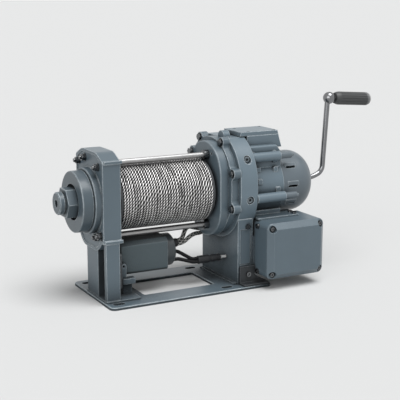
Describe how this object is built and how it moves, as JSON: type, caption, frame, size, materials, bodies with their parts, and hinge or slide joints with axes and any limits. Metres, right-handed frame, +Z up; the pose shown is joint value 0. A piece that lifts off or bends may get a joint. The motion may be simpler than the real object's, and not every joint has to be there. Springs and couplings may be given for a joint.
{
  "type": "electric winch",
  "caption": "Electric drum winch with wound wire rope between two tied end frames, gear case, motor with hand crank and control box on a slotted base plate.",
  "frame": {"origin": "middle of the base plate's underside, on the floor", "axes": "+X along the drum axis from the shaft nose to the crank, +Y away from the control box's lid, +Z up"},
  "size_m": [0.7806, 0.265, 0.406],
  "materials": {
    "paint": "satin blue-grey paint",
    "dark_paint": "satin dark grey paint",
    "zinc": "zinc-plated steel",
    "polished_steel": "polished steel",
    "rope_steel": "bare stranded steel wire",
    "machined_steel": "machined steel",
    "bronze": "bronze and copper",
    "black_rubber": "matt black rubber",
    "black_plastic": "matt dark plastic",
    "braid": "black and white braided sleeve"
  },
  "bodies": {
    "frame": {"base_plate": "paint", "left_pedestal": "paint", "left_bracket": "paint", "bearing_cover": "paint", "right_flange": "paint", "gear_case_cover": "paint", "gear_case": "paint", "motor_body": "paint", "terminal_box": "paint", "terminal_box_lid": "paint", "control_box": "paint", "control_box_lid": "paint", "right_pedestal": "paint", "pedestal_panel": "paint", "box_bracket": "paint", "contactor_foot": "paint", "motor_cap": "dark_paint", "contactor_body": "dark_paint", "contactor_cap": "dark_paint", "contactor_plate": "dark_paint", "foot_bracket": "dark_paint", "motor_end_shield": "dark_paint", "bracket_bolts": "zinc", "case_bolts": "zinc", "motor_bolts": "zinc", "box_lid_screws": "zinc", "pedestal_bolts": "zinc", "tie_rod_nuts": "zinc", "oil_plug": "zinc", "tie_rods": "polished_steel", "plug_pin": "polished_steel", "drum_bearing_outer_rings": "machined_steel", "motor_bearing_outer_rings": "machined_steel", "stator_core": "machined_steel", "layshaft_bushes": "bronze", "stator_windings": "bronze", "lead_upper": "black_rubber", "lead_lower": "black_rubber", "shaft_seals": "black_rubber", "lead_plug": "black_plastic", "cable_gland": "black_plastic", "relay_unit": "black_plastic", "braided_cable_upper": "braid", "braided_cable_lower": "braid"},
    "drum_unit": {"drum_shaft": "paint", "shaft_nut": "paint", "drum": "dark_paint", "wire_rope": "rope_steel", "rope_clamp": "zinc", "output_gear": "machined_steel", "drum_bearing_inner_rings": "machined_steel"},
    "layshaft_unit": {"layshaft": "machined_steel", "layshaft_gear": "machined_steel"},
    "crank_unit": {"motor_shaft": "machined_steel", "rotor_core": "machined_steel", "cooling_fan": "black_plastic", "motor_bearing_inner_rings": "machined_steel", "crank_rod": "polished_steel", "grip_spindle": "polished_steel"},
    "grip_unit": {"grip": "black_rubber"}
  },
  "joints": [
    {"name": "drum_spin", "type": "hinge", "parent": "frame", "child": "drum_unit", "pos_m": [0, 0, 0.21], "axis": [1, 0, 0], "continuous": true},
    {"name": "layshaft_spin", "type": "hinge", "parent": "frame", "child": "layshaft_unit", "pos_m": [0, 0.054, 0.21], "axis": [1, 0, 0], "continuous": true},
    {"name": "crank_spin", "type": "hinge", "parent": "frame", "child": "crank_unit", "pos_m": [0, 0, 0.21], "axis": [1, 0, 0], "continuous": true},
    {"name": "grip_spin", "type": "hinge", "parent": "crank_unit", "child": "grip_unit", "pos_m": [0.406, 0, 0.392], "axis": [0.9976, 0, -0.0698], "continuous": true}
  ],
  "couplings": [
    {"joint": "layshaft_spin", "follows": "drum_spin", "ratio": -5},
    {"joint": "crank_spin", "follows": "drum_spin", "ratio": 25}
  ]
}
